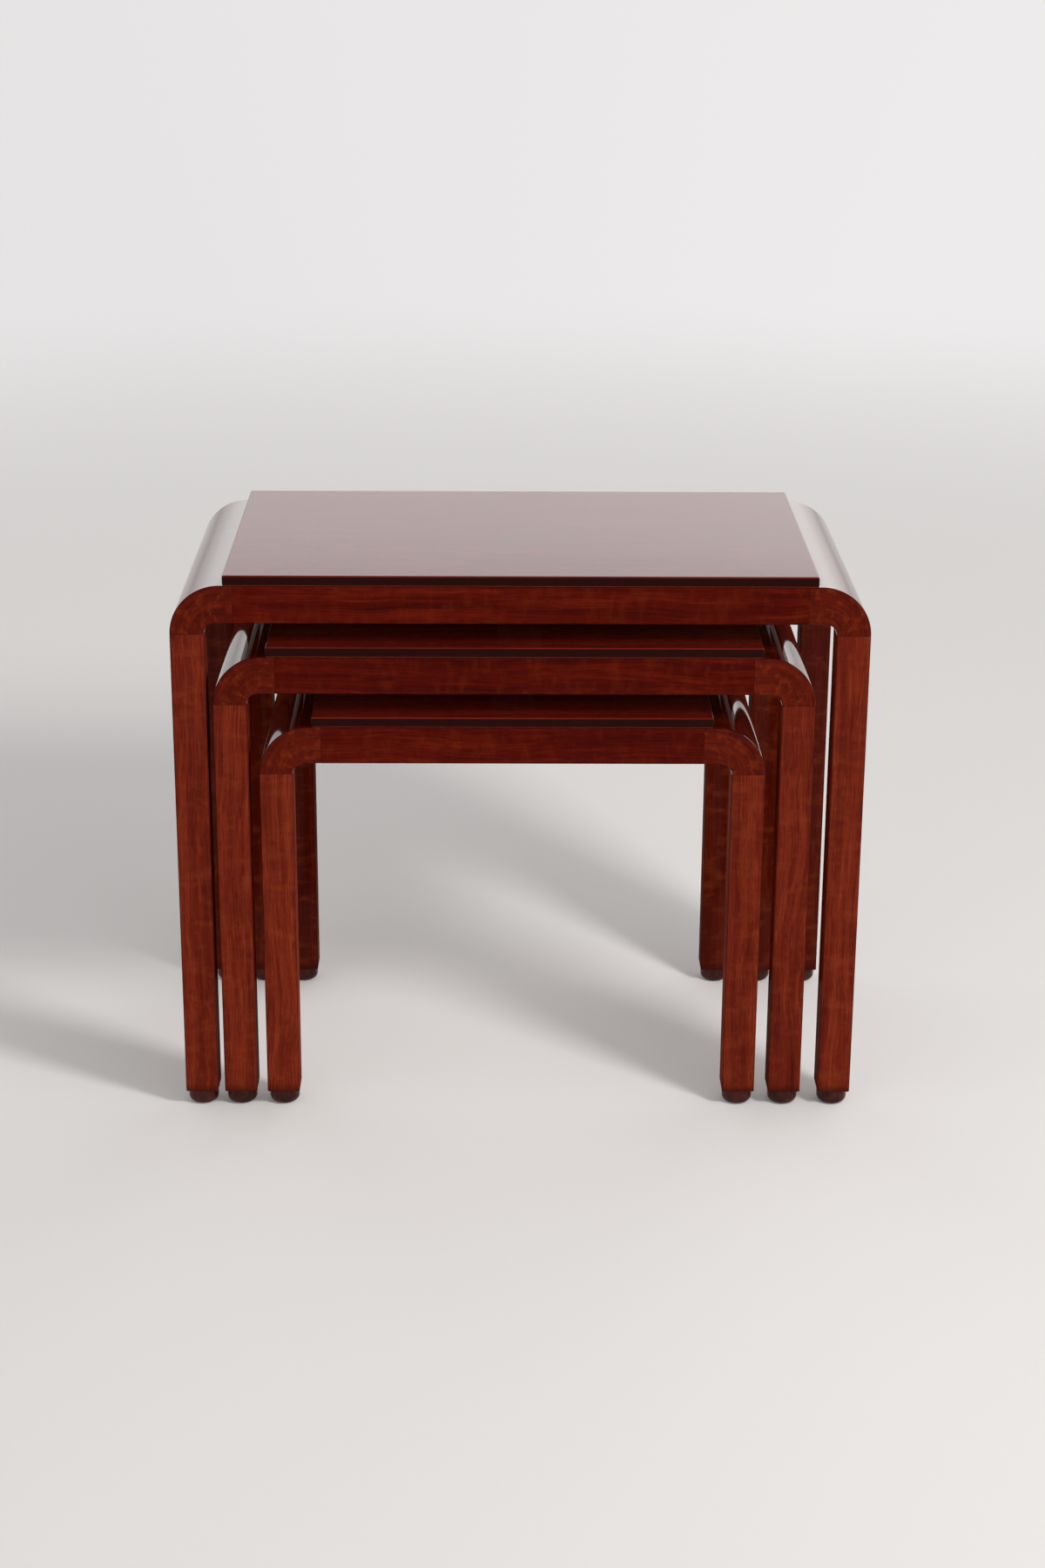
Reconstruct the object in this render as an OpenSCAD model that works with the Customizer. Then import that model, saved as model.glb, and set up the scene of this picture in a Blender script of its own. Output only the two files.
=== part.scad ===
// Nest of three small tables. The middle and the inner table are the outer one made
// narrower and lower, so that each slides forward out of the one around it.
// Millimetres, +Z up, the front faces look along -Y, and the origin is on the floor
// under the middle of the outer table.

/* [Nest] */
// Width of the outer table
outer_w = 600; // [520:5:760]
// Height of the outer table
outer_h = 496; // [440:1:640]
// Depth of all three tables, front face to rear face
depth = 308; // [240:2:420]
// Gap at each side between the legs of one table and the next, when centred
nest_gap = 11; // [8:0.5:20]
// Gap between the underside of a rail and the top of the next table
head_gap = 21; // [6:1:40]
// How far the middle table stands to the side of the outer one
middle_shift = -5; // [-6:0.5:6]
// How far the inner table stands to the side of the middle one
inner_shift = -1.5; // [-6:0.5:6]

/* [Top panel] */
// Thickness of the raised top panel
panel_t = 9; // [7.5:0.5:16]
// Distance from the side of the table to the end of the panel
panel_inset = 46; // [43:1:60]

/* [Shoulders and rails] */
// Radius of the shoulder's outer quarter round
shoulder_r = 43; // [30:1:44]
// Length of the shoulder's flat tail under the panel's end
tail_lap = 8; // [4:1:20]
// Height of the rails under the panel
rail_h = 33; // [28:1:44]
// Thickness of the rails, front to back
rail_d = 24; // [18:1:32]
// Radius of the soffit fillet where the leg meets the rail
soffit_r = 10; // [4:1:12]

/* [Legs] */
// Width of a leg, seen from the front
leg_w = 29; // [25:0.5:36]
// Depth of a leg, front to back
leg_d = 29; // [25:0.5:40]

/* [Glides] */
// Diameter of the domed glide under each leg
glide_d = 27; // [22:0.5:30]
// Height of the glide
glide_h = 14; // [8:0.5:18]
// Radius of the glide's rounded lower edge
glide_edge_r = 6; // [3:0.5:7]

/* [Blocks and batten] */
// Length of a corner block's two square sides
block_leg = 36; // [30:1:50]
// Height of the corner blocks and of the centre batten
block_h = 20; // [14:1:24]
// Width of the centre batten
batten_w = 40; // [26:1:80]

/* [Dowels] */
// Diameter of the dowels
dowel_d = 8; // [6:0.5:10]
// Length of a dowel
dowel_l = 36; // [24:1:40]
// Distance between the two dowels in the top of a leg
leg_dowel_pitch = 13; // [11:0.5:16]
// Distance between the two dowels in the end of a rail
rail_dowel_pitch = 15; // [11:0.5:18]
// Space for glue at the blind end of each dowel hole
glue_space = 1; // [0.5:0.5:3]

/* [Screws] */
// Shank diameter of the panel screws
screw_d = 3.5; // [3:0.1:4.5]
// Head diameter of the panel screws
screw_head_d = 7; // [6:0.1:8.5]
// Depth to which a panel screw bites into the panel
screw_bite = 6; // [4:0.5:6.5]
// Distance from a block's square corner to its screw, along each side
block_screw_inset = 11; // [9:0.5:14]
// Distance from a batten's end to its screw
batten_screw_inset = 30; // [12:1:60]
// Shank diameter of the screw that holds a glide
glide_screw_d = 3.5; // [3:0.1:4.5]
// Head diameter of the glide screw
glide_head_d = 7; // [6:0.1:8]
// Depth to which a glide screw bites into the leg
glide_screw_bite = 22; // [14:1:30]
// Recess of the glide screw's head above the floor
glide_recess = 3; // [1.5:0.5:4]

/* [Hidden] */
// Radial clearance of a dowel or shank in its hole
hole_clear = 0.05;
// Extra length that makes a cut pass right through a face
cut = 1;
// Roundness of all exact curves
$fn = 96;

TABLES = ["outer", "middle", "inner"];
PIECES = ["top_panel", "shoulder_left", "shoulder_right", "rail_front", "rail_rear",
    "leg_front_left", "leg_front_right", "leg_rear_left", "leg_rear_right",
    "glide_front_left", "glide_front_right", "glide_rear_left", "glide_rear_right",
    "centre_batten", "corner_blocks", "leg_dowels", "rail_dowels", "panel_screws", "glide_screws"];

LEFT = -1;
RIGHT = 1;
FRONT = -1;
REAR = 1;
SIDES = [LEFT, RIGHT];
FACES = [FRONT, REAR];

// Each table is numbered by its place in the nest: 0 outer, 1 middle, 2 inner
function table_w(t) = outer_w - 2 * t * (leg_w + nest_gap);
function table_h(t) = outer_h - t * (panel_t + rail_h + head_gap);
function table_x(t) = [0, middle_shift, middle_shift + inner_shift][t];

// Height of the shoulder above the line where the leg joins it
shoulder_h = max(shoulder_r, rail_h + soffit_r);
// Length of the shoulder from the side of the table to the end of its tail
shoulder_l = panel_inset + tail_lap;
// Heights of a table's seams: under its panel, under its rails, and above its legs
function seat_z(t) = table_h(t) - panel_t;
function soffit_z(t) = seat_z(t) - rail_h;
function joint_z(t) = seat_z(t) - shoulder_h;
// Half the length of a rail, from the middle of the table to the shoulder's tail
function rail_x(t) = table_w(t) / 2 - shoulder_l;
// Where the rear face of the front rail is, measured from the middle of the table
bay_y = depth / 2 - rail_d;
leg_y = (depth - leg_d) / 2;
rail_y = (depth - rail_d) / 2;
dowel_half = dowel_l / 2;
function leg_x(t) = (table_w(t) - leg_w) / 2;

face_wood = "#6e2519";
panel_wood = "#7b2d20";
leg_wood = "#651f16";
inner_wood = "#c9a36b";
peg_wood = "#d9bd8c";
steel = "#b9bcc0";
glide_brown = "#2b1712";

// Puts a piece drawn for the table's middle in the table's place in the nest
module in_table(t) {
    translate([table_x(t), 0, 0]) children();
}

// A piece drawn for the right side, or its mirror image for the left
module on_side(side) {
    if (side == RIGHT) children();
    else mirror([1, 0, 0]) children();
}

// A countersunk screw whose head's flat face is at z = 0 and whose shank rises
module screw(shank_d, head_d, length, clear = 0) {
    head_h = (head_d - shank_d) / 2;
    cylinder(h = head_h, d1 = head_d, d2 = shank_d);
    cylinder(h = length + clear, d = shank_d + 2 * clear);
}

// The places of a table's panel screws, seen from above
function panel_screw_places(t) = concat(
    [for (side = SIDES) for (face = FACES)
        [side * (rail_x(t) - block_screw_inset), face * (bay_y - block_screw_inset)]],
    [for (face = FACES) [0, face * (bay_y - batten_screw_inset)]]);
panel_screw_l = block_h + screw_bite;

module panel_screw_set(t, clear = 0) {
    for (place = panel_screw_places(t))
        translate([place[0], place[1], seat_z(t) - block_h])
            screw(screw_d, screw_head_d, panel_screw_l, clear);
}

module glide_screw_set(t, clear = 0) {
    for (side = SIDES, face = FACES)
        translate([side * leg_x(t), face * leg_y, glide_recess])
            screw(glide_screw_d, glide_head_d, glide_h - glide_recess + glide_screw_bite, clear);
}

// Upright dowels between the legs and the shoulders. As holes they are a little
// wider, and deeper at the upper end.
module leg_dowel_set(t, clear = 0, space = 0) {
    for (side = SIDES, face = FACES, row = [-1, 1])
        translate([side * leg_x(t), face * leg_y + row * leg_dowel_pitch / 2, joint_z(t) - dowel_half])
            cylinder(h = dowel_l + space, d = dowel_d + 2 * clear);
}

// Level dowels between the rails' ends and the shoulders' tails. As holes they are
// a little wider, and deeper at the shoulder's end.
module rail_dowel_set(t, clear = 0, space = 0) {
    for (side = SIDES, face = FACES, row = [-1, 1])
        on_side(side)
            translate([rail_x(t) - dowel_half, face * rail_y,
                       soffit_z(t) + rail_h / 2 + row * rail_dowel_pitch / 2])
                rotate([0, 90, 0]) cylinder(h = dowel_l + space, d = dowel_d + 2 * clear);
}

// Flat raised panel, flush with the rails at the front and the rear
module top_panel(t) {
    panel_l = table_w(t) - 2 * panel_inset;
    color(panel_wood) in_table(t) difference() {
        translate([-panel_l / 2, -depth / 2, seat_z(t)]) cube([panel_l, depth, panel_t]);
        panel_screw_set(t, hole_clear);
    }
}

// The corner left over outside a quarter round, as deep as the table, to cut or to keep.
// The round's centre is at x and z, and the corner points to +X and +Z.
module spandrel(x, z, r, over) {
    difference() {
        translate([x, -depth / 2 - over, z]) cube([r + cut, depth + 2 * over, r + cut]);
        translate([x, 0, z]) rotate([90, 0, 0]) cylinder(h = depth + 4 * over, r = r, center = true);
    }
}

// Quarter-round shoulder as deep as the table, with a flat tail under the panel.
// It is drawn on the right: its side is at x = table_w / 2 and its tail points to x = 0.
module shoulder_body(t) {
    side_x = table_w(t) / 2;
    inner_x = side_x - leg_w;
    difference() {
        translate([side_x - shoulder_l, -depth / 2, joint_z(t)]) cube([shoulder_l, depth, shoulder_h]);
        spandrel(side_x - shoulder_r, seat_z(t) - shoulder_r, shoulder_r, cut);
        // the open space under the shoulder, with its fillet beside the leg
        difference() {
            translate([side_x - shoulder_l - cut, -depth / 2 - cut, joint_z(t) - cut])
                cube([shoulder_l - leg_w + cut, depth + 2 * cut, shoulder_h - rail_h + cut]);
            spandrel(inner_x - soffit_r, soffit_z(t) - soffit_r, soffit_r, 2 * cut);
        }
    }
}

module shoulder(t, side) {
    color(face_wood) in_table(t) difference() {
        on_side(side) shoulder_body(t);
        leg_dowel_set(t, hole_clear, glue_space);
        rail_dowel_set(t, hole_clear, glue_space);
    }
}

// Straight rail between the two shoulders' tails
module rail(t, face) {
    color(face_wood) in_table(t) difference() {
        translate([-rail_x(t), face * rail_y - rail_d / 2, soffit_z(t)])
            cube([2 * rail_x(t), rail_d, rail_h]);
        rail_dowel_set(t, hole_clear);
    }
}

// Straight square leg from the glide up to the shoulder
module leg(t, side, face) {
    color(leg_wood) in_table(t) difference() {
        translate([side * leg_x(t) - leg_w / 2, face * leg_y - leg_d / 2, glide_h])
            cube([leg_w, leg_d, joint_z(t) - glide_h]);
        leg_dowel_set(t, hole_clear);
        glide_screw_set(t, hole_clear);
    }
}

// Domed glide: flat above, rounded below, with a countersunk hole for its screw
module glide(t, side, face) {
    flat_r = glide_d / 2 - glide_edge_r;
    color(glide_brown) in_table(t) difference() {
        translate([side * leg_x(t), face * leg_y, 0]) {
            translate([0, 0, glide_edge_r]) cylinder(h = glide_h - glide_edge_r, d = glide_d);
            cylinder(h = glide_edge_r, r = flat_r);
            rotate_extrude() intersection() {
                translate([flat_r, glide_edge_r]) circle(r = glide_edge_r);
                translate([flat_r, 0]) square([glide_edge_r, glide_edge_r]);
            }
        }
        glide_screw_set(t, hole_clear);
        translate([side * leg_x(t), face * leg_y, -cut])
            cylinder(h = glide_recess + cut, d = glide_head_d);
    }
}

// Batten across the middle, glued and screwed under the panel between the rails
module centre_batten(t) {
    color(inner_wood) in_table(t) difference() {
        translate([-batten_w / 2, -bay_y, seat_z(t) - block_h])
            cube([batten_w, 2 * bay_y, block_h]);
        panel_screw_set(t, hole_clear);
    }
}

// Four three-cornered blocks in the corners between the rails and the shoulders
module corner_blocks(t) {
    color(inner_wood) in_table(t) difference() {
        for (side = SIDES, face = FACES)
            translate([side * rail_x(t), face * bay_y, seat_z(t) - block_h])
                linear_extrude(height = block_h)
                    polygon([[0, 0], [-side * block_leg, 0], [0, -face * block_leg]]);
        panel_screw_set(t, hole_clear);
    }
}

module leg_dowels(t) {
    color(peg_wood) in_table(t) leg_dowel_set(t);
}

module rail_dowels(t) {
    color(peg_wood) in_table(t) rail_dowel_set(t);
}

module panel_screws(t) {
    color(steel) in_table(t) panel_screw_set(t);
}

module glide_screws(t) {
    color(steel) in_table(t) glide_screw_set(t);
}

for (t = [0 : len(TABLES) - 1]) {
    name = TABLES[t];
    top_panel(t);
    shoulder(t, LEFT);
    shoulder(t, RIGHT);
    rail(t, FRONT);
    rail(t, REAR);
    leg(t, LEFT, FRONT);
    leg(t, RIGHT, FRONT);
    leg(t, LEFT, REAR);
    leg(t, RIGHT, REAR);
    glide(t, LEFT, FRONT);
    glide(t, RIGHT, FRONT);
    glide(t, LEFT, REAR);
    glide(t, RIGHT, REAR);
    centre_batten(t);
    corner_blocks(t);
    leg_dowels(t);
    rail_dowels(t);
    panel_screws(t);
    glide_screws(t);
}
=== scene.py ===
import math

import bpy
import numpy as np
from mathutils import Matrix, Vector


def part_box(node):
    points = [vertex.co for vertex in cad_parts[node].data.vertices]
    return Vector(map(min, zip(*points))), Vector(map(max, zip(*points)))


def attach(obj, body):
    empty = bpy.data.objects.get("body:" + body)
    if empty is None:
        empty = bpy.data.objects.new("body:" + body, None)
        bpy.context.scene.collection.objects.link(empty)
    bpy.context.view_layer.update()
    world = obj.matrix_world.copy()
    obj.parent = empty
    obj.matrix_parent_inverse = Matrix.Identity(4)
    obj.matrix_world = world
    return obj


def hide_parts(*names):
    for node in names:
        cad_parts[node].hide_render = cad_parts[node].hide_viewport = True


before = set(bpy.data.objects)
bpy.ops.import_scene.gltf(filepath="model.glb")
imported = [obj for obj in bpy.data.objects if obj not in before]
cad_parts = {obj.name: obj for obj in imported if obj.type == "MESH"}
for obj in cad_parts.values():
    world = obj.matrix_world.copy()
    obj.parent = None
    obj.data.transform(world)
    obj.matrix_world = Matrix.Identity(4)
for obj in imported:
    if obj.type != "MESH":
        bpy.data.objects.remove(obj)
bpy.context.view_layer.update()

scene = bpy.context.scene
mm = 0.001
tableNames = ["outer", "middle", "inner"]
tableFaces = ["front", "rear"]
sideSigns = {"left": -1, "right": 1}
grainPick = np.random.default_rng(7)  # gives each piece its own stretch of the timber
print("frame loaded")

# Meshes. A piece is a grid of points, rows by columns, whose rows are closed rings.


# The four-sided faces between neighbouring rings. A looped grid joins its last ring to its first.
def gridFaces(rows, columns, looped=False):
    index = np.arange(rows * columns).reshape(rows, columns)
    low = index if looped else index[:-1]
    high = np.roll(index, -1, axis=0) if looped else index[1:]
    return np.stack([low, np.roll(low, -1, 1), np.roll(high, -1, 1), high], -1).reshape(-1, 4)


# Six times the volume inside the faces and the two flat end caps: the sum of a . (b x c)
# over all triangles, which is negative when the faces point inwards.
def signedVolume(points, quads, caps):
    triangles = [quads[:, [0, 1, 2]], quads[:, [0, 2, 3]]]
    for cap in caps:
        triangles.append(np.stack([np.full(len(cap) - 2, cap[0]), cap[1:-1], cap[2:]], -1))
    a, b, c = (points[np.concatenate(triangles)[:, corner]] for corner in range(3))
    return float(np.einsum("ij,ij->i", a, np.cross(b, c)).sum())


# One object from one ringed grid or from several of the same make, each turned outwards.
# marks holds point values for the materials, shaped as the grids are.
def ringPiece(name, grids, material, body, node, looped=False, marks=None):
    grids = grids[None] if grids.ndim == 3 else grids
    copies, rows, columns = grids.shape[:3]
    faces, smooth = [], []
    for copy in range(copies):
        points = grids[copy].reshape(-1, 3)
        quads = gridFaces(rows, columns, looped)
        caps = [] if looped else [np.arange(columns)[::-1], np.arange(columns) + (rows - 1) * columns]
        if signedVolume(points - points.mean(0), quads, caps) < 0:
            quads, caps = quads[:, ::-1], [cap[::-1] for cap in caps]
        first = copy * rows * columns
        faces += (quads + first).tolist() + [(cap + first).tolist() for cap in caps]
        smooth += [True] * len(quads) + [False] * len(caps)
    mesh = bpy.data.meshes.new(name)
    mesh.from_pydata(grids.reshape(-1, 3).tolist(), [], faces)
    mesh.polygons.foreach_set("use_smooth", smooth)
    for key, values in (marks or {}).items():
        isVector = values.ndim == 3
        mark = mesh.attributes.new(key, "FLOAT_VECTOR" if isVector else "FLOAT", "POINT")
        mark.data.foreach_set("vector" if isVector else "value", values.astype(np.float32).ravel())
    mesh.materials.append(material)
    mesh.update()
    piece = bpy.data.objects.new(name, mesh)
    scene.collection.objects.link(piece)
    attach(piece, body)
    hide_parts(node)
    return piece


# Where rings stand so that an end is eased to a radius: along the piece r(1 - sin a) and
# inwards r(1 - cos a), for a from 90 degrees down to 0, and then one plain ring a little
# further on, which keeps the shading of the long faces flat.
def easedEnd(radius, steps, support):
    angle = np.linspace(math.pi / 2, 0, steps + 1)
    along = np.append(radius * (1 - np.sin(angle)), radius + support)
    inset = np.append(radius * (1 - np.cos(angle)), 0)
    return along, inset


# A bar carried along a bent path. The path is two curves in the X-Z plane, its outer and its
# inner edge, with the distance along it, and the bar is as deep as lowY to highY. The ring at
# each station is a rectangle between the two edges whose corners are quarter circles of radius
# ease. Gives the points, their places in the timber and how far each is on an arris.
def barGrid(path, lowY, highY, ease, endEases, stations=(), steps=4, support=0.8 * mm):
    angle = np.linspace(0, math.pi / 2, steps + 1)
    fromEdge = np.concatenate([[ease + support], ease * (1 - np.sin(angle)), [0]])
    fromFace = np.concatenate([[0], ease * (1 - np.cos(angle)), [ease + support]])
    turn = np.concatenate([[0], np.sin(2 * angle), [0]])
    corner = np.repeat([0, 1, 2, 3], len(turn))
    fromEdge = np.concatenate([fromEdge, fromEdge[::-1]] * 2)
    fromFace = np.concatenate([fromFace, fromFace[::-1]] * 2)
    turn = np.tile(turn, 4)
    isOuter, isLow = corner < 2, (corner == 0) | (corner == 3)

    distance, outer, inner = path
    length = distance[-1]
    startAt, startInset = easedEnd(endEases[0], steps, support)
    stopAt, stopInset = easedEnd(endEases[1], steps, support)
    middle = [at for at in stations if startAt[-1] < at < length - stopAt[-1]]
    at = np.concatenate([startAt, middle, length - stopAt[::-1]])
    inset = np.concatenate([startInset, np.zeros(len(middle)), stopInset[::-1]])[:, None]
    onOuter = np.stack([np.interp(at, distance, outer[:, axis]) for axis in (0, 1)], -1)
    onInner = np.stack([np.interp(at, distance, inner[:, axis]) for axis in (0, 1)], -1)
    thickness = np.linalg.norm(onInner - onOuter, axis=1, keepdims=True)
    across = (onInner - onOuter) / thickness

    depthIn = np.where(isOuter, fromEdge + inset, thickness - fromEdge - inset)
    xz = onOuter[:, None] + across[:, None] * depthIn[..., None]
    y = np.where(isLow, lowY + fromFace + inset, highY - fromFace - inset)
    grid = np.stack([xz[..., 0], y, xz[..., 1]], -1)
    place = np.stack([np.broadcast_to(at[:, None], y.shape), y, depthIn], -1)
    endTurn = np.sin(math.pi * np.clip(inset / max(*endEases), 0, 1))
    return grid, place, np.maximum(turn, endTurn)


# The straight path of a bar between two opposite corners of its box, lying or standing.
def straightPath(low, high, standing=False):
    if standing:
        outer, inner = (np.array([[x, low.z], [x, high.z]]) for x in (low.x, high.x))
    else:
        outer, inner = (np.array([[low.x, z], [high.x, z]]) for z in (high.z, low.z))
    return np.array([0, np.linalg.norm(outer[1] - outer[0])]), outer, inner


# A solid of revolution about an upright axis: (r cos a, r sin a, h) for each profile point,
# where the radius may also change with the angle.
def turnedGrid(radii, heights, columns):
    angle = np.linspace(0, 2 * math.pi, columns, endpoint=False)
    radii = radii if radii.ndim == 2 else radii[:, None] * np.ones(columns)
    heights = heights[:, None] * np.ones(columns)
    return np.stack([radii * np.cos(angle), radii * np.sin(angle), heights], -1)


# Points of an arc in a turned piece's profile: centre + r(cos a, sin a).
def arc(centre, radius, start, stop, count):
    angle = np.radians(np.linspace(start, stop, count))
    return np.stack([centre[0] + radius * np.cos(angle), centre[1] + radius * np.sin(angle)], -1)


# The same grid at several places.
def copiesAt(grid, places):
    return grid[None] + np.array(places)[:, None, None]


# Materials. The timber is read from each piece's own grainPlace, so its grain follows the bend.

# One look for each kind of piece. figureShare and mottle are the most that the figure and the
# dark mottles cover, and contrast is that of the streaks. gloss is the coat's roughness and
# coatIor its index of refraction. sideCoat and faceCoat are its weights on faces that look along
# X and along Y, where it is 1 on top. edge and bareBelow say how far a piece's upright edges are
# darkened to a near-black and how much of its underside is bare, and arris is the stain on its arrises.
mahogany = {
    "panel": {
        "dark": (0.046, 0.0022, 0.0012), "mid": (0.110, 0.0065, 0.0032),
        "light": (0.170, 0.0150, 0.0070), "figure": (0.200, 0.026, 0.009),
        "figureShare": 0.10, "figureWaves": (60, 34, 34), "mottle": 0.1, "contrast": 0.7,
        "gloss": 0.045, "coatIor": 1.15, "sideCoat": 1.0, "faceCoat": 1.0,
        "edge": 1.0, "bareBelow": 1.0, "arris": "light"},
    "rail": {
        "dark": (0.020, 0.0007, 0.0002), "mid": (0.056, 0.0022, 0.0005),
        "light": (0.112, 0.0080, 0.0018), "figure": (0.160, 0.019, 0.003),
        "figureShare": 0.18, "figureWaves": (95, 42, 42), "mottle": 0.2, "contrast": 0.9,
        "gloss": 0.05, "coatIor": 1.15, "sideCoat": 1.0, "faceCoat": 0.6,
        "edge": 0.0, "bareBelow": 0.0, "arris": "dark"},
    "leg": {
        "dark": (0.034, 0.0020, 0.0008), "mid": (0.105, 0.0100, 0.0032),
        "light": (0.185, 0.0260, 0.0080), "figure": (0.220, 0.038, 0.010),
        "figureShare": 0.2, "figureWaves": (95, 42, 42), "mottle": 0.15, "contrast": 0.9,
        "gloss": 0.05, "coatIor": 1.15, "sideCoat": 0.05, "faceCoat": 0.8,
        "edge": 0.0, "bareBelow": 0.0, "arris": "dark"},
    "shoulder": {
        "dark": (0.020, 0.0008, 0.0003), "mid": (0.068, 0.0040, 0.0009),
        "light": (0.135, 0.0130, 0.0028), "figure": (0.180, 0.024, 0.004),
        "figureShare": 0.40, "figureWaves": (150, 110, 110), "mottle": 0.35, "contrast": 0.7,
        "gloss": 0.05, "coatIor": 1.30, "sideCoat": 1.0, "faceCoat": 0.25,
        "edge": 0.0, "bareBelow": 0.0, "arris": "dark"},
}
# The rear legs have the leg's look with a darker middle and light tone: this is painted shade, the
# shade of the tables in front of them put into their colour.
mahogany["rearLegPaintedShade"] = {
    **mahogany["leg"], "mid": (0.048, 0.0040, 0.0013), "light": (0.090, 0.0110, 0.0036)}

# What all the looks share. Waves are a metre along, across and through the grain.
timber = {
    "broadWaves": (5, 150, 150),      # streaks about 7 mm wide
    "fineWaves": (16, 950, 950),      # streaks about 1 mm wide
    "bandWaves": (2, 26, 26),         # bands about 40 mm wide
    "broadShare": 0.45,               # of the tone, and so on
    "fineShare": 0.35,
    "bandShare": 0.2,
    "toneReach": 0.17,                # from the middle tone to dark or light, at contrast 1
    "sway": (0.0, 0.018, 0.018),      # the most that the streaks wander
    "mottleWaves": (110, 150, 150),
    "poreWaves": (70, 2300, 2300),
    "poreShare": 0.55,
    "arrisShare": (0.30, 0.65),       # least and most of the arris stain
    "footShare": 0.9,
    "roughness": (0.30, 0.42),        # of the wood under its coat
    # the near-black that a piece's upright faces are darkened to
    "uprightDark": (0.012, 0.0010, 0.0006),
    "bareBacking": (0.36, 0.200, 0.095),
    "backingDeep": 0.7,               # the backing's darker streaks, as a share of its colour
}


# Adds a node, sets its own settings or its inputs' plain values, and links its other inputs.
def addNode(tree, kind, links=None, **settings):
    node = tree.nodes.new(kind)
    for key, value in settings.items():
        if hasattr(node, key):
            setattr(node, key, value)
        else:
            node.inputs[key].default_value = value
    for key, source in (links or {}).items():
        tree.links.new(source, node.inputs[key])
    return node


def newMaterial(name):
    material = bpy.data.materials.new(name)
    material.use_nodes = True
    return material, material.node_tree, material.node_tree.nodes["Principled BSDF"]


# Noise at so many waves a metre along, across and through the grain.
def grainNoise(tree, place, waves, detail=3.0, roughness=0.55):
    stretched = addNode(tree, "ShaderNodeVectorMath", {0: place}, operation="MULTIPLY")
    stretched.inputs[1].default_value = waves
    return addNode(tree, "ShaderNodeTexNoise", {"Vector": stretched.outputs[0]},
                   Scale=1.0, Detail=detail, Roughness=roughness).outputs["Fac"]


# Turns a value from one range to another, held at both ends.
def ranged(tree, source, low, high, toLow=0.0, toHigh=1.0):
    node = addNode(tree, "ShaderNodeMapRange", {0: source})
    for socket, value in enumerate((low, high, toLow, toHigh), 1):
        node.inputs[socket].default_value = value
    return node.outputs[0]


def maths(tree, operation, first, second):
    node = addNode(tree, "ShaderNodeMath", operation=operation)
    for socket, value in enumerate((first, second)):
        if isinstance(value, (int, float)):
            node.inputs[socket].default_value = value
        else:
            tree.links.new(value, node.inputs[socket])
    return node.outputs[0]


def mixed(tree, share, first, second):
    node = addNode(tree, "ShaderNodeMix", {0: share}, data_type="RGBA")
    for socket, value in ((6, first), (7, second)):
        if isinstance(value, tuple):
            node.inputs[socket].default_value = (*value, 1.0)
        else:
            tree.links.new(value, node.inputs[socket])
    return node.outputs[2]


def bumped(tree, height, strength, distance):
    bump = addNode(tree, "ShaderNodeBump", {"Height": height}, Strength=strength, Distance=distance)
    return bump.outputs[0]


# A point value that a piece carries, which is 0 on a piece without it.
def markValue(tree, key):
    return addNode(tree, "ShaderNodeAttribute", attribute_name=key).outputs["Fac"]


# The place in the timber plus a slow noise times the sway, so that the streaks wander.
def swayed(tree, place):
    drift = addNode(tree, "ShaderNodeTexNoise", {"Vector": place}, Scale=7.0, Detail=2.0)
    sway = addNode(tree, "ShaderNodeVectorMath", {0: drift.outputs["Color"]}, operation="MULTIPLY")
    sway.inputs[1].default_value = timber["sway"]
    total = addNode(tree, "ShaderNodeVectorMath", {0: place, 1: sway.outputs[0]}, operation="ADD")
    return total.outputs[0]
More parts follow.
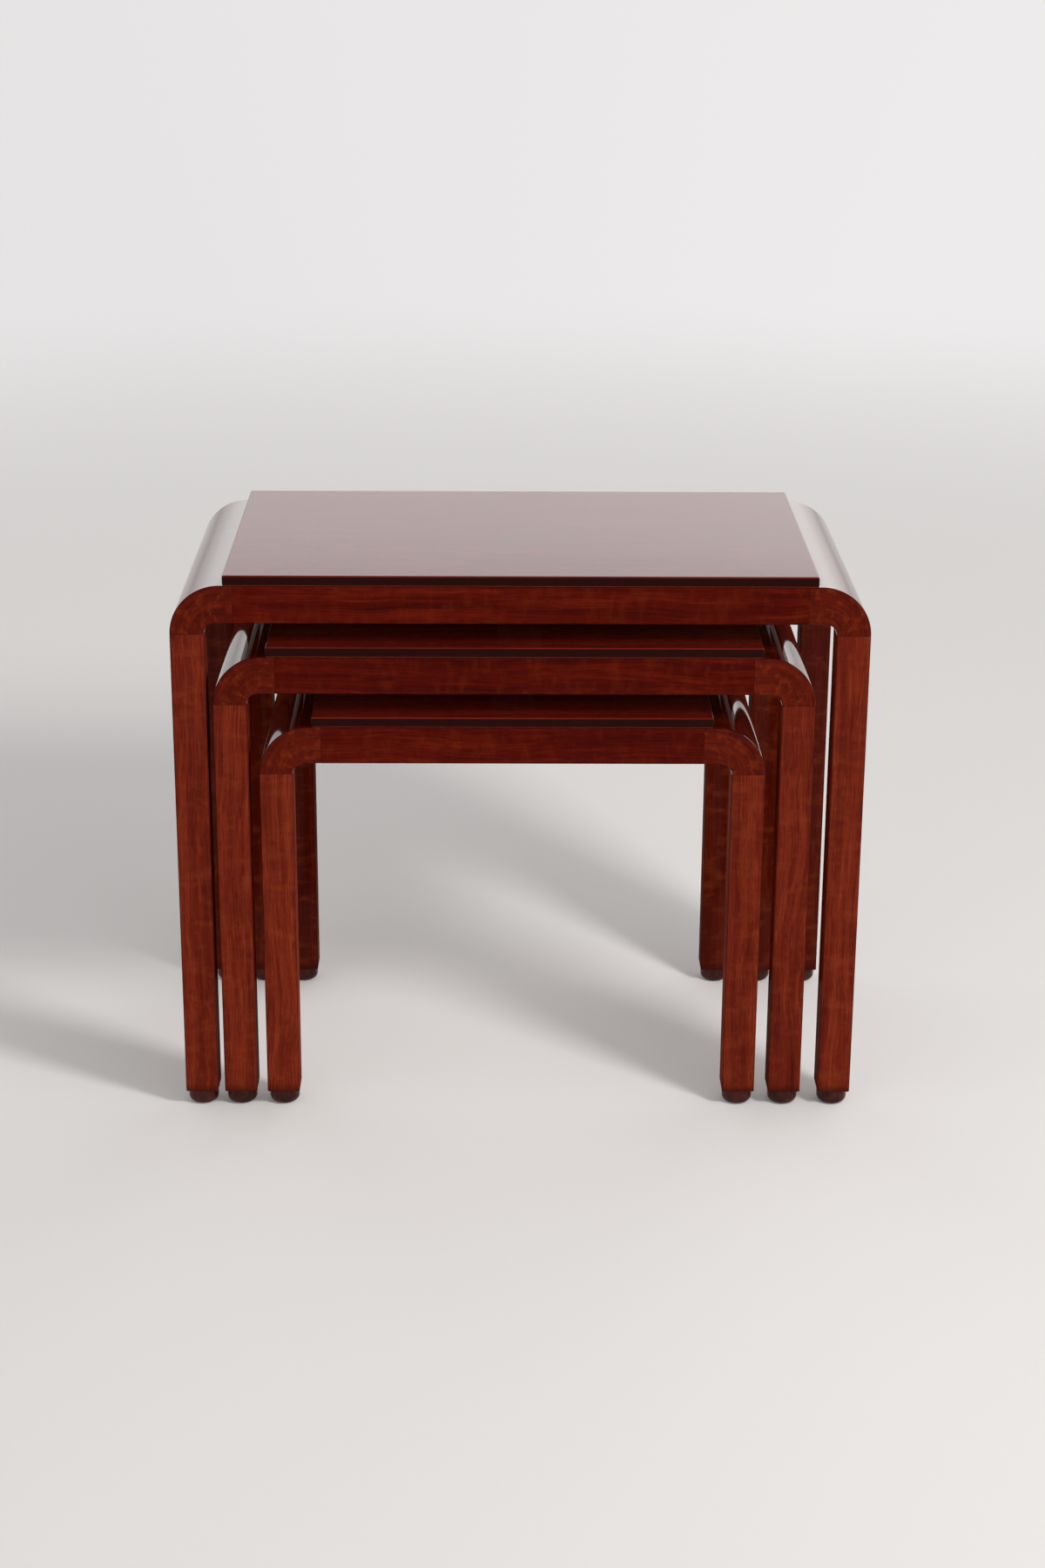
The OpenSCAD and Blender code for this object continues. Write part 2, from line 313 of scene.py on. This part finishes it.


# Lacquered mahogany. The tone is the shares of the broad streaks, the fine ones and the bands
# added up, and runs from dark to light. Over it, one after the other: a cross figure towards
# orange, dark mottles, dark pores, the stain of the arrises, a dark foot, a darkening to near-black
# where the face is upright and the bare backing where it looks down. The coat's weight is the product
# of its weights for the X, the Y and the Z of the direction the face looks in.
def lacqueredMahogany(name, look):
    material, tree, shader = newMaterial(name)
    place = addNode(tree, "ShaderNodeAttribute", attribute_name="grainPlace").outputs["Vector"]
    waved = swayed(tree, place)
    broad = grainNoise(tree, waved, timber["broadWaves"], 4.0)
    fine = grainNoise(tree, waved, timber["fineWaves"], 2.0)
    bands = grainNoise(tree, waved, timber["bandWaves"], 2.0)
    pores = ranged(tree, grainNoise(tree, place, timber["poreWaves"], 1.0), 0.62, 0.70)

    tone = maths(tree, "ADD", maths(tree, "MULTIPLY", broad, timber["broadShare"]),
                 maths(tree, "MULTIPLY", fine, timber["fineShare"]))
    tone = maths(tree, "ADD", tone, maths(tree, "MULTIPLY", bands, timber["bandShare"]))
    reach = timber["toneReach"] / look["contrast"]
    ramp = addNode(tree, "ShaderNodeValToRGB", {0: ranged(tree, tone, 0.5 - reach, 0.5 + reach)})
    ramp.color_ramp.elements[0].color = (*look["dark"], 1)
    ramp.color_ramp.elements[1].color = (*look["light"], 1)
    ramp.color_ramp.elements.new(0.5).color = (*look["mid"], 1)

    figure = grainNoise(tree, waved, look["figureWaves"], 3.0, 0.6)
    figure = ranged(tree, figure, 0.50, 0.68, 0.0, look["figureShare"])
    colour = mixed(tree, figure, ramp.outputs[0], look["figure"])
    mottle = grainNoise(tree, place, timber["mottleWaves"], 2.0, 0.6)
    mottle = ranged(tree, mottle, 0.50, 0.66, 0.0, look["mottle"])
    colour = mixed(tree, mottle, colour, look["dark"])
    colour = mixed(tree, maths(tree, "MULTIPLY", pores, timber["poreShare"]), colour, look["dark"])
    onArris = ranged(tree, broad, 0.35, 0.65, *timber["arrisShare"])
    onArris = maths(tree, "MULTIPLY", markValue(tree, "arris"), onArris)
    colour = mixed(tree, onArris, colour, look[look["arris"]])
    onFoot = maths(tree, "MULTIPLY", markValue(tree, "foot"), timber["footShare"])
    colour = mixed(tree, onFoot, colour, look["dark"])

    normal = addNode(tree, "ShaderNodeNewGeometry").outputs["Normal"]
    parts = addNode(tree, "ShaderNodeSeparateXYZ", {0: normal}).outputs
    sideways, frontal, upward = (maths(tree, "ABSOLUTE", parts[axis], 0.0) for axis in "XYZ")
    # Upright faces are darkened towards the near-black, as far as the look's edge share says.
    upright = ranged(tree, upward, 0.2, 0.6, look["edge"], 0.0)
    colour = mixed(tree, upright, colour, timber["uprightDark"])
    deep = tuple(timber["backingDeep"] * part for part in timber["bareBacking"])
    backing = mixed(tree, ranged(tree, broad, 0.35, 0.65), timber["bareBacking"], deep)
    below = ranged(tree, parts["Z"], -0.9, -0.7, look["bareBelow"], 0.0)
    colour = mixed(tree, below, colour, backing)
    tree.links.new(colour, shader.inputs["Base Color"])

    rough = ranged(tree, broad, 0.3, 0.7, *timber["roughness"])
    tree.links.new(rough, shader.inputs["Roughness"])
    relief = bumped(tree, maths(tree, "SUBTRACT", fine, pores), 0.12, 0.0002)
    tree.links.new(relief, shader.inputs["Normal"])
    flow = addNode(tree, "ShaderNodeTexNoise", {"Vector": place}, Scale=55.0, Detail=2.0)
    tree.links.new(bumped(tree, flow.outputs["Fac"], 0.05, 0.0006), shader.inputs["Coat Normal"])
    coat = maths(tree, "MULTIPLY", ranged(tree, sideways, 0.3, 0.9, 1.0, look["sideCoat"]),
                 ranged(tree, frontal, 0.3, 0.9, 1.0, look["faceCoat"]))
    notBelow = ranged(tree, parts["Z"], -0.9, -0.7, 1.0 - look["bareBelow"], 1.0)
    tree.links.new(maths(tree, "MULTIPLY", coat, notBelow), shader.inputs["Coat Weight"])
    shader.inputs["Specular IOR Level"].default_value = 0.0
    shader.inputs["Coat Roughness"].default_value = look["gloss"]
    shader.inputs["Coat IOR"].default_value = look["coatIor"]
    return material


# Two colours and the waves a metre along X, Y and Z for each kind of bare beech.
beech = {
    "block": ((0.46, 0.27, 0.13), (0.33, 0.175, 0.078), (8, 190, 190)),
    "batten": ((0.46, 0.27, 0.13), (0.33, 0.175, 0.078), (190, 8, 190)),
    "uprightPeg": ((0.58, 0.38, 0.20), (0.46, 0.28, 0.135), (250, 250, 10)),
    "levelPeg": ((0.58, 0.38, 0.20), (0.46, 0.28, 0.135), (10, 250, 250)),
}


# Bare beech for what is out of sight: a faint grain drawn out along one axis, with fine flecks.
def bareBeech(name, pale, deep, waves):
    material, tree, shader = newMaterial(name)
    place = addNode(tree, "ShaderNodeTexCoord").outputs["Object"]
    grain = grainNoise(tree, place, waves, 4.0)
    fleck = grainNoise(tree, place, tuple(5 * wave for wave in waves), 1.0)
    colour = mixed(tree, ranged(tree, grain, 0.3, 0.7), pale, deep)
    fleck = ranged(tree, fleck, 0.60, 0.68, 0.0, 0.5)
    colour = mixed(tree, fleck, colour, tuple(0.55 * part for part in deep))
    tree.links.new(colour, shader.inputs["Base Color"])
    tree.links.new(ranged(tree, grain, 0.3, 0.7, 0.55, 0.72), shader.inputs["Roughness"])
    tree.links.new(bumped(tree, grain, 0.25, 0.0003), shader.inputs["Normal"])
    return material


plastic = {
    "deep": (0.018, 0.0035, 0.0025),
    "pale": (0.048, 0.0095, 0.0060),
    "shine": 0.15,            # its specular level
}


# Polished brown plastic: a clouded near-black brown with a faint moulding ripple.
def glidePlastic(name):
    material, tree, shader = newMaterial(name)
    place = addNode(tree, "ShaderNodeTexCoord").outputs["Object"]
    cloud = grainNoise(tree, place, (90, 90, 90))
    ripple = grainNoise(tree, place, (700, 700, 700), 1.0)
    colour = mixed(tree, ranged(tree, cloud, 0.35, 0.65), plastic["deep"], plastic["pale"])
    tree.links.new(colour, shader.inputs["Base Color"])
    tree.links.new(ranged(tree, cloud, 0.3, 0.7, 0.12, 0.22), shader.inputs["Roughness"])
    tree.links.new(bumped(tree, ripple, 0.06, 0.0003), shader.inputs["Normal"])
    shader.inputs["Specular IOR Level"].default_value = plastic["shine"]
    return material


# Zinc-plated steel: bright metal with clouded roughness.
def zincSteel(name):
    material, tree, shader = newMaterial(name)
    place = addNode(tree, "ShaderNodeTexCoord").outputs["Object"]
    cloud = grainNoise(tree, place, (900, 900, 900))
    colour = mixed(tree, ranged(tree, cloud, 0.35, 0.65), (0.42, 0.42, 0.43), (0.62, 0.61, 0.58))
    tree.links.new(colour, shader.inputs["Base Color"])
    tree.links.new(ranged(tree, cloud, 0.3, 0.7, 0.24, 0.45), shader.inputs["Roughness"])
    shader.inputs["Metallic"].default_value = 1.0
    return material


woods = {key: lacqueredMahogany(f"{key}Mahogany", look) for key, look in mahogany.items()}
beeches = {key: bareBeech(f"{key}Beech", *look) for key, look in beech.items()}
brown = glidePlastic("glideBrown")
zinc = zincSteel("zincSteel")
print("materials made")

# Pieces of a table. Their places come from the CAD boxes.

joinery = {
    "panelEase": 1.3 * mm,   # arrises of the raised panel
    "frameEase": 1.1 * mm,   # arrises of the legs, rails and shoulders
    "jointEase": 0.35 * mm,  # ends that meet another piece
    "footMark": 9 * mm,      # height of the dark foot of a leg
    "legRings": np.array([3, 8, 14, 60, 140, 240, 340]) * mm,  # up a leg, close at its foot
}


# A point's place in the timber, moved to a stretch of the timber that is this piece's own.
def timberMarks(place, arris, **others):
    return {"grainPlace": place + grainPick.uniform(0, 8, 3), "arris": arris, **others}


# The raised panel: a straight bar from end to end, with its grain along the table.
def makePanel(table, part):
    low, high = part("top_panel")
    ease = joinery["panelEase"]
    grid, place, arris = barGrid(straightPath(low, high), low.y, high.y, ease, (ease, ease))
    ringPiece(f"{table}Panel", grid, woods["panel"], f"{table}_table", f"{table}_top_panel",
              marks=timberMarks(place, arris))


# A shoulder's two edges, from the leg up and over to its tail. Each is a quarter circle,
# centre + r(cos a, sin a), and then a straight run under the panel. The two rounds share
# their angles, so the rings stand square to the bend.
def shoulderPath(part, side):
    low, high = part(f"shoulder_{side}")
    legLow, legHigh = part(f"leg_front_{side}")
    soffit = part("rail_front")[0].z
    sign = sideSigns[side]
    sideX, tailX = (high.x, low.x) if sign > 0 else (low.x, high.x)
    angle = np.radians(np.linspace(0, 90, 61))
    share = np.linspace(0, 1, 9)[1:]
    edges = []
    for startX, endZ in ((sideX, high.z), (sideX - sign * (legHigh.x - legLow.x), soffit)):
        radius = endZ - low.z  # both rounds spring from the top of the leg
        x = startX - sign * radius * (1 - np.cos(angle))
        z = low.z + radius * np.sin(angle)
        tail = np.stack([x[-1] + (tailX - x[-1]) * share, np.full(len(share), endZ)], -1)
        edges.append(np.concatenate([np.stack([x, z], -1), tail]))
    steps = np.linalg.norm(np.diff(sum(edges) / 2, axis=0), axis=1)
    return np.append(0, np.cumsum(steps)), *edges


def makeShoulder(table, part, side):
    low, high = part(f"shoulder_{side}")
    path = shoulderPath(part, side)
    ends = (joinery["jointEase"], joinery["jointEase"])
    grid, place, arris = barGrid(path, low.y, high.y, joinery["frameEase"], ends, path[0])
    ringPiece(f"{table}Shoulder{side.title()}", grid, woods["shoulder"], f"{table}_table",
              f"{table}_shoulder_{side}", marks=timberMarks(place, arris))


def makeRail(table, part, face):
    low, high = part(f"rail_{face}")
    ends = (joinery["jointEase"], joinery["jointEase"])
    grid, place, arris = barGrid(straightPath(low, high), low.y, high.y, joinery["frameEase"], ends)
    ringPiece(f"{table}Rail{face.title()}", grid, woods["rail"], f"{table}_table",
              f"{table}_rail_{face}", marks=timberMarks(place, arris))


# A leg stands on its eased foot, and the foot mark runs from 1 at its end to 0 a little higher.
def makeLeg(table, part, face, side):
    low, high = part(f"leg_{face}_{side}")
    ends = (joinery["frameEase"], joinery["jointEase"])
    path = straightPath(low, high, standing=True)
    grid, place, arris = barGrid(path, low.y, high.y, joinery["frameEase"], ends, joinery["legRings"])
    # The rear legs take the darker copy of the leg's colours, which is painted shade.
    wood = woods["leg" if face == "front" else "rearLegPaintedShade"]
    foot = np.clip(1 - (grid[..., 2] - low.z) / joinery["footMark"], 0, 1)
    ringPiece(f"{table}Leg{face.title()}{side.title()}", grid, wood, f"{table}_table",
              f"{table}_leg_{face}_{side}", marks=timberMarks(place, arris, foot=foot))


glideShape = {
    "edge": 6.0 * mm,        # rounded lower edge
    "rim": 0.7 * mm,         # small round at the top
    "recess": 3.55 * mm,     # radius of the screw's recess
    "recessTop": 3.0 * mm,   # height of the screw's head above the floor
    "bore": 1.85 * mm,       # radius of the screw's hole
    "lip": 0.4 * mm,         # round at the recess's mouth
    "support": 0.6 * mm,     # from a round to the next plain ring, which keeps the faces flat
    "columns": 56,
}


# A glide's closed profile, spun once round: down the side, round the lower edge, across the
# flat, up into the screw's recess and through the bore to the top.
def makeGlide(table, part, face, side):
    low, high = part(f"glide_{face}_{side}")
    radius, height = (high.x - low.x) / 2, high.z
    edge, rim, bore, lip, support, recess, recessTop = (
        glideShape[key] for key in ("edge", "rim", "bore", "lip", "support", "recess", "recessTop"))
    profile = np.concatenate([
        [[bore + 2 * support, height], [radius - rim - support, height]],
        arc((radius - rim, height - rim), rim, 90, 0, 5),
        [[radius, height - rim - support], [radius, edge + support]],
        arc((radius - edge, edge), edge, 0, -90, 15),
        [[radius - edge - support, 0], [recess + lip + support, 0]],
        arc((recess + lip, lip), lip, -90, -180, 4),
        [[recess, recessTop], [bore, recessTop + recess - bore], [bore, height - 2 * support]],
        arc((bore + support, height - support), support, 180, 90, 4),
    ])
    grid = turnedGrid(profile[:, 0], profile[:, 1], glideShape["columns"])
    grid = grid + np.array([(low.x + high.x) / 2, (low.y + high.y) / 2, 0])
    ringPiece(f"{table}Glide{face.title()}{side.title()}", grid, brown, f"{table}_table",
              f"{table}_glide_{face}_{side}", looped=True)


dowelShape = {
    "radius": 4.0 * mm,
    "railLength": 36 * mm,   # of the dowels between a rail and a shoulder
    "legPitch": 13 * mm,     # between the two dowels in a leg
    "chamfer": 1.0 * mm,
    "flutes": 12,
    "fluteDepth": 0.35 * mm,
    "columns": 48,
}


# An upright fluted dowel whose middle is at the origin: r - d(0.5 + 0.5 cos(n a)) round the
# shank, and drawn in by the chamfer at both ends.
def dowelGrid(length):
    chamfer, half, radius = dowelShape["chamfer"], length / 2, dowelShape["radius"]
    angle = np.linspace(0, 2 * math.pi, dowelShape["columns"], endpoint=False)
    flute = dowelShape["fluteDepth"] * (0.5 + 0.5 * np.cos(dowelShape["flutes"] * angle))
    heights = np.array([-half, -half + 0.4 * chamfer, -half + chamfer, 0,
                        half - chamfer, half - 0.4 * chamfer, half])
    drawnIn = np.array([1.0, 0.4, 0, 0, 0, 0.4, 1.0]) * chamfer
    return turnedGrid(radius - drawnIn[:, None] - flute[None], heights, dowelShape["columns"])


# Two dowels stand in the top of each leg and two lie in each end of each rail.
def makeDowels(table, part):
    low, high = part("leg_dowels")
    pitch, radius = dowelShape["legPitch"], dowelShape["radius"]
    xs = (low.x + radius, high.x - radius)
    ys = (low.y + radius, low.y + radius + pitch, high.y - radius - pitch, high.y - radius)
    places = [(x, y, (low.z + high.z) / 2) for x in xs for y in ys]
    grids = copiesAt(dowelGrid(high.z - low.z), places)
    ringPiece(f"{table}LegDowels", grids, beeches["uprightPeg"], f"{table}_table",
              f"{table}_leg_dowels")

    low, high = part("rail_dowels")
    half = dowelShape["railLength"] / 2
    xs = (low.x + half, high.x - half)
    ys, zs = (low.y + radius, high.y - radius), (low.z + radius, high.z - radius)
    lying = dowelGrid(2 * half)[..., [2, 1, 0]]
    grids = copiesAt(lying, [(x, y, z) for x in xs for y in ys for z in zs])
    ringPiece(f"{table}RailDowels", grids, beeches["levelPeg"], f"{table}_table",
              f"{table}_rail_dowels")


screwShape = {
    "headRadius": 3.5 * mm,
    "shankRadius": 1.75 * mm,
    "pitch": 1.6 * mm,
    "threadDepth": 0.45 * mm,
    "armLength": 2.0 * mm,     # of the drive's cross
    "armWidth": 0.42 * mm,
    "driveDepth": 1.3 * mm,
    "blockInset": 11 * mm,     # from a block's square corner to its screw
    "battenInset": 30 * mm,    # from a batten's end to its screw
    "columns": 32,
}


# An upright screw with its head's face at height 0. Up the shank the radius is that of the
# core plus a ridge that climbs one pitch a turn. The drive is a cross: the farther of its two
# bars' edges, min(l / |cos a|, w / |sin a|) and the same turned square, drawn in with depth.
# The angles start a little off 0, where a sine would be divided by.
def screwGrid(length):
    columns, armLength, armWidth, head, shank, pitch, drive, threadDepth = (
        screwShape[key] for key in ("columns", "armLength", "armWidth", "headRadius",
                                    "shankRadius", "pitch", "driveDepth", "threadDepth"))
    angle = np.linspace(0, 2 * math.pi, columns, endpoint=False) + 0.01
    barX = np.minimum(armLength / abs(np.cos(angle)), armWidth / abs(np.sin(angle)))
    barY = np.minimum(armLength / abs(np.sin(angle)), armWidth / abs(np.cos(angle)))
    cross, even = np.maximum(barX, barY), np.ones(columns)
    neck = head - shank
    rings = [(0.12 * cross, drive * 1.25), (0.55 * cross, drive), (0.92 * cross, 0.12 * mm), (cross, 0),
             ((head - 0.5 * mm) * even, 0), ((head - 0.12 * mm) * even, 0), (head * even, 0.12 * mm),
             ((shank + 0.2 * mm) * even, neck), (shank * even, neck + 0.5 * mm)]
    climb = np.arange(neck + 1.0 * mm, length - 3.0 * mm, pitch / 6)
    turns = climb[:, None] / pitch - np.linspace(0, 1, columns, endpoint=False)[None]
    ridge = np.clip(1 - 3.2 * abs(turns - np.round(turns)), 0, 1)
    thread = shank - threadDepth * (1 - ridge)
    tip = [((shank - threadDepth) * even, length - 2.8 * mm), (0.3 * mm * even, length)]
    radii = np.concatenate([[ring for ring, _ in rings], thread, [ring for ring, _ in tip]])
    heights = np.concatenate([[height for _, height in rings], climb, [height for _, height in tip]])
    return turnedGrid(radii, heights, columns)


# Screws through the corner blocks and the batten into the panel, and up through the glides.
def makeScrews(table, part):
    low, high = part("panel_screws")
    blockLow, blockHigh = part("corner_blocks")
    corner, batten = screwShape["blockInset"], screwShape["battenInset"]
    places = [(x, y, low.z) for x in (blockLow.x + corner, blockHigh.x - corner)
              for y in (blockLow.y + corner, blockHigh.y - corner)]
    middleX = (low.x + high.x) / 2
    places += [(middleX, y, low.z) for y in (blockLow.y + batten, blockHigh.y - batten)]
    grids = copiesAt(screwGrid(high.z - low.z), places)
    ringPiece(f"{table}PanelScrews", grids, zinc, f"{table}_table", f"{table}_panel_screws")

    low, high = part("glide_screws")
    head = screwShape["headRadius"]
    places = [(x, y, low.z) for x in (low.x + head, high.x - head)
              for y in (low.y + head, high.y - head)]
    grids = copiesAt(screwGrid(high.z - low.z), places)
    ringPiece(f"{table}GlideScrews", grids, zinc, f"{table}_table", f"{table}_glide_screws")


for table in tableNames:
    def part(node):
        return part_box(f"{table}_{node}")

    makePanel(table, part)
    for side in sideSigns:
        makeShoulder(table, part, side)
    for face in tableFaces:
        makeRail(table, part, face)
        for side in sideSigns:
            makeLeg(table, part, face, side)
            makeGlide(table, part, face, side)
    makeDowels(table, part)
    makeScrews(table, part)
    for node, kind in (("corner_blocks", "block"), ("centre_batten", "batten")):
        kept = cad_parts[f"{table}_{node}"].data
        kept.materials.clear()
        kept.materials.append(beeches[kind])
    print(f"{table} table made")

# Stage, light and camera.

studio = {
    "floorRings": [0.0001, 0.5, 1.0, 1.7, 2.4, 3.2, 4.2, 8.0, 16.0, 30.0],  # the last is its edge
    "floorNear": 1.7,         # the floor is plain paper up to here
    "floorFar": 4.2,          # and glows as the backdrop does from here on
    "paper": (0.775, 0.758, 0.755),
    "dimmerLeft": 0.93,       # the far floor's glow at the left, where it is 1 at the right
    "dimmerReach": 0.2,       # how far to either side, as a share of the distance, it changes
    "backdrop": (0.850, 0.832, 0.832),
    "wallGlow": [(0.0, 0.80), (0.12, 1.50), (0.25, 2.70), (0.42, 0.98), (0.65, 0.16), (1.0, 0.15)],
    "glowSlope": 0.5,         # how that glow rises from left to right
    "glowBend": 1.6,          # and towards both sides
    "glowReach": 0.45,        # how far to either side it changes
    "keyPlace": (0.875, -0.88, 1.10),
    "keyRadius": 0.16,
    "keyPower": 19.6,
    "keyColour": (1.0, 0.985, 0.96),
}


# A round floor of rings: (r cos a, r sin a, 0), the radii growing outwards. Far out it turns
# from paper to a glow of the backdrop's tone.
def makeFloor():
    columns = 96
    radii = np.array(studio["floorRings"])
    grid = turnedGrid(radii, np.zeros(len(radii)), columns)
    upFaces = gridFaces(len(radii), columns)[:, ::-1]
    mesh = bpy.data.meshes.new("studioFloor")
    mesh.from_pydata(grid.reshape(-1, 3).tolist(), [], upFaces.tolist())
    mesh.update()
    material, tree, shader = newMaterial("paperFloor")
    place = addNode(tree, "ShaderNodeTexCoord").outputs["Object"]
    distance = addNode(tree, "ShaderNodeVectorMath", {0: place}, operation="LENGTH").outputs["Value"]
    far = addNode(tree, "ShaderNodeMapRange", {0: distance}, interpolation_type="SMOOTHSTEP")
    far.inputs[1].default_value = studio["floorNear"]
    far.inputs[2].default_value = studio["floorFar"]
    shader.inputs["Base Color"].default_value = (*studio["paper"], 1)
    shader.inputs["Roughness"].default_value = 0.9
    shader.inputs["Specular IOR Level"].default_value = 0.1
    glow = addNode(tree, "ShaderNodeEmission")
    glow.inputs["Color"].default_value = (*studio["backdrop"], 1)
    bearing = addNode(tree, "ShaderNodeVectorMath", {0: place}, operation="NORMALIZE").outputs[0]
    rightward = addNode(tree, "ShaderNodeSeparateXYZ", {0: bearing}).outputs["X"]
    reach = studio["dimmerReach"]
    dimmer = ranged(tree, rightward, -reach, reach, studio["dimmerLeft"], 1.0)
    tree.links.new(dimmer, glow.inputs["Strength"])
    sources = {0: far.outputs[0], 1: shader.outputs[0], 2: glow.outputs[0]}
    blend = addNode(tree, "ShaderNodeMixShader", sources)
    tree.links.new(blend.outputs[0], tree.nodes["Material Output"].inputs["Surface"])
    mesh.materials.append(material)
    floor = bpy.data.objects.new("studioFloor", mesh)
    scene.collection.objects.link(floor)


# The studio's walls, whose glow goes by the height of the direction looked at: the backdrop's
# own tone at the horizon, brighter a little above it and dim overhead. Across, it is multiplied
# by (bend x + slope) x + 1, where x is the direction's X, held within the reach.
def makeStudioWalls():
    world = bpy.data.worlds.new("studioWalls")
    world.use_nodes = True
    scene.world = world
    tree = world.node_tree
    direction = addNode(tree, "ShaderNodeTexCoord").outputs["Generated"]
    towards = addNode(tree, "ShaderNodeSeparateXYZ", {0: direction})
    reach = studio["glowReach"]
    across = ranged(tree, towards.outputs["X"], -reach, reach, -reach, reach)
    slope = maths(tree, "ADD", maths(tree, "MULTIPLY", across, studio["glowBend"]), studio["glowSlope"])
    share = maths(tree, "ADD", maths(tree, "MULTIPLY", slope, across), 1.0)
    tree.links.new(share, tree.nodes["Background"].inputs["Strength"])
    ramp = addNode(tree, "ShaderNodeValToRGB", {0: towards.outputs["Z"]})
    stops = ramp.color_ramp.elements
    while len(stops) < len(studio["wallGlow"]):
        stops.new(0.5)
    for stop, (position, glow) in zip(stops, studio["wallGlow"]):
        stop.position = position
        stop.color = (glow, glow * 0.993, glow * 0.98, 1)
    tree.links.new(ramp.outputs[0], tree.nodes["Background"].inputs["Color"])


# A soft round lamp to the right and in front, whose light doesn't fade with distance.
def makeKeyLamp():
    lamp = bpy.data.lights.new("keyLamp", "POINT")
    lamp.energy = studio["keyPower"]
    lamp.color = studio["keyColour"]
    lamp.shadow_soft_size = studio["keyRadius"]
    lamp.use_nodes = True
    tree = lamp.node_tree
    fade = addNode(tree, "ShaderNodeLightFalloff", Strength=1.0)
    tree.links.new(fade.outputs["Constant"], tree.nodes["Emission"].inputs["Strength"])
    holder = bpy.data.objects.new("keyLamp", lamp)
    holder.location = studio["keyPlace"]
    holder.visible_glossy = False  # its disc stays out of the polished tops
    scene.collection.objects.link(holder)


lens = {
    "place": (-0.024, -2.469, 1.129),
    "length": 64.8,
    "pitch": 19.49,   # degrees below level
    "yaw": 0.65,      # degrees to the right
    "roll": 0.34,
}


# The camera looks along (sin y cos p, cos y cos p, -sin p), with its own axes rolled about it.
def makeCamera():
    pitch, yaw, roll = (math.radians(lens[key]) for key in ("pitch", "yaw", "roll"))
    toRight, ahead = math.sin(yaw) * math.cos(pitch), math.cos(yaw) * math.cos(pitch)
    forward = Vector((toRight, ahead, -math.sin(pitch)))
    right = Vector((math.cos(yaw), -math.sin(yaw), 0))
    up = right.cross(forward)
    rolledRight = math.cos(roll) * right + math.sin(roll) * up
    rolledUp = -math.sin(roll) * right + math.cos(roll) * up
    turned = Matrix((rolledRight, rolledUp, -forward)).transposed().to_4x4()
    data = bpy.data.cameras.new("studioCamera")
    data.lens, data.sensor_width = lens["length"], 36
    camera = bpy.data.objects.new("studioCamera", data)
    camera.matrix_world = Matrix.Translation(Vector(lens["place"])) @ turned
    scene.collection.objects.link(camera)
    scene.camera = camera


makeFloor()
makeStudioWalls()
makeKeyLamp()
makeCamera()
scene.view_settings.view_transform = "Standard"
print("stage, light and camera set")
